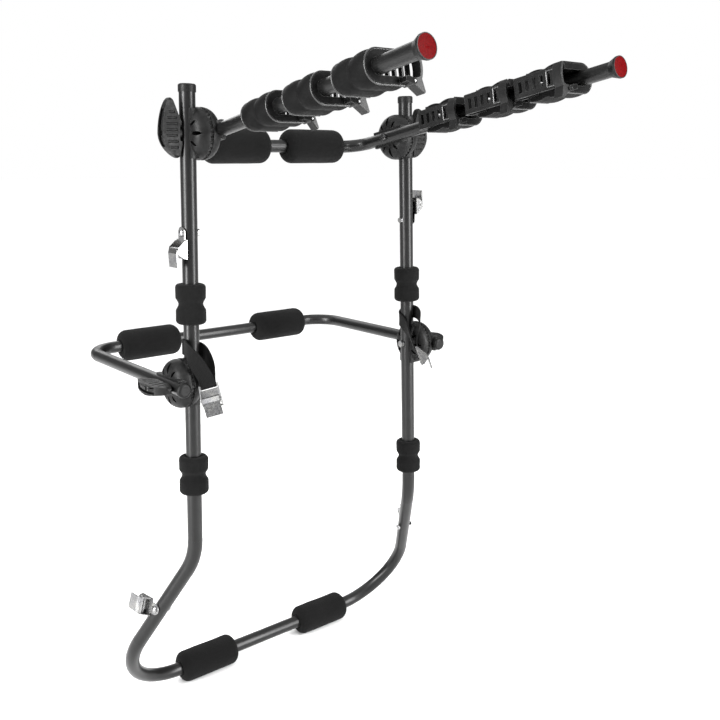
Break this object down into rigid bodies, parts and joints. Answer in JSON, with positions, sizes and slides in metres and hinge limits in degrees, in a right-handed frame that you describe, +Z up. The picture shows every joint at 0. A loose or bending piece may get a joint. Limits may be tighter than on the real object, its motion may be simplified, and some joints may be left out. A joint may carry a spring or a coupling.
{
  "type": "trunk mounted bike rack",
  "caption": "Bent tube rack that straps to a car tailgate, with padded crossbars, folding arms and hoop on toothed hubs, rubber bike cradles with ladder straps, and cam buckles.",
  "frame": {"origin": "middle of the lower crossbar, on its axis", "axes": "+X across the car to the right seen from behind it, +Y towards the car, +Z up"},
  "size_m": [0.6592, 0.8414, 1.1351],
  "materials": {
    "tube_paint": "satin charcoal paint",
    "foam": "matte closed-cell foam",
    "moulding": "grained dark grey nylon",
    "cradle_rubber": "matte rubber",
    "strap_plastic": "smooth moulded strap",
    "zinc": "bright zinc plate",
    "reflector_red": "glossy red lens",
    "webbing": "woven black webbing"
  },
  "bodies": {
    "frame": {"main_frame": "tube_paint", "upright_plugs": "moulding", "lower_pad_left": "foam", "lower_pad_right": "foam", "upright_rings": "foam", "through_bolts": "zinc", "arm_hub_frame_half_left": "moulding", "arm_hub_frame_half_right": "moulding", "hoop_hub_frame_half_left": "moulding", "hoop_hub_frame_half_right": "moulding", "webbing_loop_left": "webbing", "webbing_loop_right": "webbing"},
    "arms": {"arm_hoop": "tube_paint", "arm_end_plugs": "moulding", "arm_reflectors": "reflector_red", "upper_pad_left": "foam", "upper_pad_right": "foam", "arm_hub_arm_half_left": "moulding", "arm_hub_arm_half_right": "moulding"},
    "hoop": {"middle_hoop": "tube_paint", "hoop_end_plugs": "moulding", "middle_pad_left": "foam", "middle_pad_right": "foam", "hoop_hub_hoop_half_left": "moulding", "hoop_hub_hoop_half_right": "moulding"},
    "arm_knob_left": {"arm_knob_left": "moulding"},
    "hoop_knob_left": {"hoop_knob_left": "moulding"},
    "cradle_left_1": {"cradle_left_1": "cradle_rubber", "ladder_strap_left_1": "strap_plastic"},
    "latch_left_1": {"strap_latch_left_1": "strap_plastic"},
    "cradle_left_2": {"cradle_left_2": "cradle_rubber", "ladder_strap_left_2": "strap_plastic"},
    "latch_left_2": {"strap_latch_left_2": "strap_plastic"},
    "cradle_left_3": {"cradle_left_3": "cradle_rubber", "ladder_strap_left_3": "strap_plastic"},
    "latch_left_3": {"strap_latch_left_3": "strap_plastic"},
    "upper_buckle_left": {"upper_buckle_left": "zinc"},
    "upper_cam_left": {"upper_cam_left": "zinc"},
    "lower_buckle_left": {"lower_buckle_left": "zinc"},
    "lower_cam_left": {"lower_cam_left": "zinc"},
    "middle_buckle_left": {"middle_buckle_left": "zinc"},
    "middle_cam_left": {"middle_cam_left": "zinc"},
    "arm_knob_right": {"arm_knob_right": "moulding"},
    "hoop_knob_right": {"hoop_knob_right": "moulding"},
    "cradle_right_1": {"cradle_right_1": "cradle_rubber", "ladder_strap_right_1": "strap_plastic"},
    "latch_right_1": {"strap_latch_right_1": "strap_plastic"},
    "cradle_right_2": {"cradle_right_2": "cradle_rubber", "ladder_strap_right_2": "strap_plastic"},
    "latch_right_2": {"strap_latch_right_2": "strap_plastic"},
    "cradle_right_3": {"cradle_right_3": "cradle_rubber", "ladder_strap_right_3": "strap_plastic"},
    "latch_right_3": {"strap_latch_right_3": "strap_plastic"},
    "upper_buckle_right": {"upper_buckle_right": "zinc"},
    "upper_cam_right": {"upper_cam_right": "zinc"},
    "lower_buckle_right": {"lower_buckle_right": "zinc"},
    "lower_cam_right": {"lower_cam_right": "zinc"},
    "middle_buckle_right": {"middle_buckle_right": "zinc"},
    "middle_cam_right": {"middle_cam_right": "zinc"}
  },
  "joints": [
    {"name": "arm_fold", "type": "hinge", "parent": "frame", "child": "arms", "pos_m": [0, -0.167, 1.003], "axis": [1, 0, 0], "range_deg": [-70, 100]},
    {"name": "hoop_fold", "type": "hinge", "parent": "frame", "child": "hoop", "pos_m": [0, -0.167, 0.615], "axis": [1, 0, 0], "range_deg": [-70, 60]},
    {"name": "arm_knob_left_turn", "type": "hinge", "parent": "frame", "child": "arm_knob_left", "pos_m": [-0.225, -0.167, 1.003], "axis": [-1, 0, 0], "continuous": true},
    {"name": "hoop_knob_left_turn", "type": "hinge", "parent": "frame", "child": "hoop_knob_left", "pos_m": [-0.23584, -0.167, 0.615], "axis": [-1, 0, 0], "continuous": true},
    {"name": "cradle_left_1_swivel", "type": "hinge", "parent": "arms", "child": "cradle_left_1", "pos_m": [-0.185, -0.32152, 1.0308], "axis": [0, -0.9842, 0.1771], "range_deg": [-20, 90]},
    {"name": "latch_left_1_open", "type": "hinge", "parent": "cradle_left_1", "child": "latch_left_1", "pos_m": [-0.14, -0.3617, 1.01924], "axis": [0, 0.9842, -0.1771], "range_deg": [0, 70]},
    {"name": "cradle_left_2_swivel", "type": "hinge", "parent": "arms", "child": "cradle_left_2", "pos_m": [-0.185, -0.42486, 1.0494], "axis": [0, -0.9842, 0.1771], "range_deg": [-20, 90]},
    {"name": "latch_left_2_open", "type": "hinge", "parent": "cradle_left_2", "child": "latch_left_2", "pos_m": [-0.14, -0.46504, 1.03783], "axis": [0, 0.9842, -0.1771], "range_deg": [0, 70]},
    {"name": "cradle_left_3_swivel", "type": "hinge", "parent": "arms", "child": "cradle_left_3", "pos_m": [-0.185, -0.53214, 1.0687], "axis": [0, -0.9842, 0.1771], "range_deg": [-20, 90]},
    {"name": "latch_left_3_open", "type": "hinge", "parent": "cradle_left_3", "child": "latch_left_3", "pos_m": [-0.14, -0.57232, 1.05713], "axis": [0, 0.9842, -0.1771], "range_deg": [0, 70]},
    {"name": "upper_buckle_left_swivel", "type": "hinge", "parent": "frame", "child": "upper_buckle_left", "pos_m": [-0.24208, -0.167, 0.85336], "axis": [-0.9996, 0, 0.0279], "range_deg": [-120, 120]},
    {"name": "upper_cam_left_open", "type": "hinge", "parent": "upper_buckle_left", "child": "upper_cam_left", "pos_m": [-0.25383, -0.167, 0.82668], "axis": [0, 1, 0], "range_deg": [0, 70], "stiffness_Nm_per_rad": 0.04, "springref_deg": -20.05},
    {"name": "lower_buckle_left_swivel", "type": "hinge", "parent": "frame", "child": "lower_buckle_left", "pos_m": [-0.29694, -0.11218, 0.20757], "axis": [-0.9474, -0.1521, 0.2815], "range_deg": [-120, 120]},
    {"name": "lower_cam_left_open", "type": "hinge", "parent": "lower_buckle_left", "child": "lower_cam_left", "pos_m": [-0.31141, -0.08717, 0.21144], "axis": [0.2825, 0.0153, 0.9591], "range_deg": [0, 70], "stiffness_Nm_per_rad": 0.04, "springref_deg": -20.05},
    {"name": "middle_buckle_left_swing", "type": "hinge", "parent": "frame", "child": "middle_buckle_left", "pos_m": [-0.23578, -0.219, 0.617], "axis": [-0.7847, 0.564, -0.2573], "range_deg": [-8, 25]},
    {"name": "middle_cam_left_open", "type": "hinge", "parent": "middle_buckle_left", "child": "middle_cam_left", "pos_m": [-0.24015, -0.23345, 0.59864], "axis": [-0.7847, 0.564, -0.2573], "range_deg": [0, 70], "stiffness_Nm_per_rad": 0.04, "springref_deg": -20.05},
    {"name": "arm_knob_right_turn", "type": "hinge", "parent": "frame", "child": "arm_knob_right", "pos_m": [0.225, -0.167, 1.003], "axis": [1, 0, 0], "continuous": true},
    {"name": "hoop_knob_right_turn", "type": "hinge", "parent": "frame", "child": "hoop_knob_right", "pos_m": [0.23584, -0.167, 0.615], "axis": [1, 0, 0], "continuous": true},
    {"name": "cradle_right_1_swivel", "type": "hinge", "parent": "arms", "child": "cradle_right_1", "pos_m": [0.185, -0.34022, 1.03417], "axis": [0, 0.9842, -0.1771], "range_deg": [-20, 90]},
    {"name": "latch_right_1_open", "type": "hinge", "parent": "cradle_right_1", "child": "latch_right_1", "pos_m": [0.14, -0.3804, 1.0226], "axis": [0, -0.9842, 0.1771], "range_deg": [0, 70]},
    {"name": "cradle_right_2_swivel", "type": "hinge", "parent": "arms", "child": "cradle_right_2", "pos_m": [0.185, -0.4534, 1.05453], "axis": [0, 0.9842, -0.1771], "range_deg": [-20, 90]},
    {"name": "latch_right_2_open", "type": "hinge", "parent": "cradle_right_2", "child": "latch_right_2", "pos_m": [0.14, -0.49358, 1.04296], "axis": [0, -0.9842, 0.1771], "range_deg": [0, 70]},
    {"name": "cradle_right_3_swivel", "type": "hinge", "parent": "arms", "child": "cradle_right_3", "pos_m": [0.185, -0.5528, 1.07242], "axis": [0, 0.9842, -0.1771], "range_deg": [-20, 90]},
    {"name": "latch_right_3_open", "type": "hinge", "parent": "cradle_right_3", "child": "latch_right_3", "pos_m": [0.14, -0.59299, 1.06085], "axis": [0, -0.9842, 0.1771], "range_deg": [0, 70]},
    {"name": "upper_buckle_right_swivel", "type": "hinge", "parent": "frame", "child": "upper_buckle_right", "pos_m": [0.24208, -0.167, 0.85336], "axis": [0.9996, 0, 0.0279], "range_deg": [-120, 120]},
    {"name": "upper_cam_right_open", "type": "hinge", "parent": "upper_buckle_right", "child": "upper_cam_right", "pos_m": [0.25233, -0.167, 0.88066], "axis": [0, 1, 0], "range_deg": [0, 70], "stiffness_Nm_per_rad": 0.04, "springref_deg": -20.05},
    {"name": "lower_buckle_right_swivel", "type": "hinge", "parent": "frame", "child": "lower_buckle_right", "pos_m": [0.29694, -0.11218, 0.20757], "axis": [0.9474, -0.1521, 0.2815], "range_deg": [-120, 120]},
    {"name": "lower_cam_right_open", "type": "hinge", "parent": "lower_buckle_right", "child": "lower_cam_right", "pos_m": [0.31141, -0.08717, 0.21144], "axis": [0.2825, -0.0153, -0.9591], "range_deg": [0, 70], "stiffness_Nm_per_rad": 0.04, "springref_deg": -20.05},
    {"name": "middle_buckle_right_swing", "type": "hinge", "parent": "frame", "child": "middle_buckle_right", "pos_m": [0.22187, -0.207, 0.61361], "axis": [-0.6251, -0.7528, 0.2061], "range_deg": [-8, 25]},
    {"name": "middle_cam_right_open", "type": "hinge", "parent": "middle_buckle_right", "child": "middle_cam_right", "pos_m": [0.23217, -0.22017, 0.59671], "axis": [-0.6251, -0.7528, 0.2061], "range_deg": [0, 70], "stiffness_Nm_per_rad": 0.04, "springref_deg": -20.05}
  ]
}
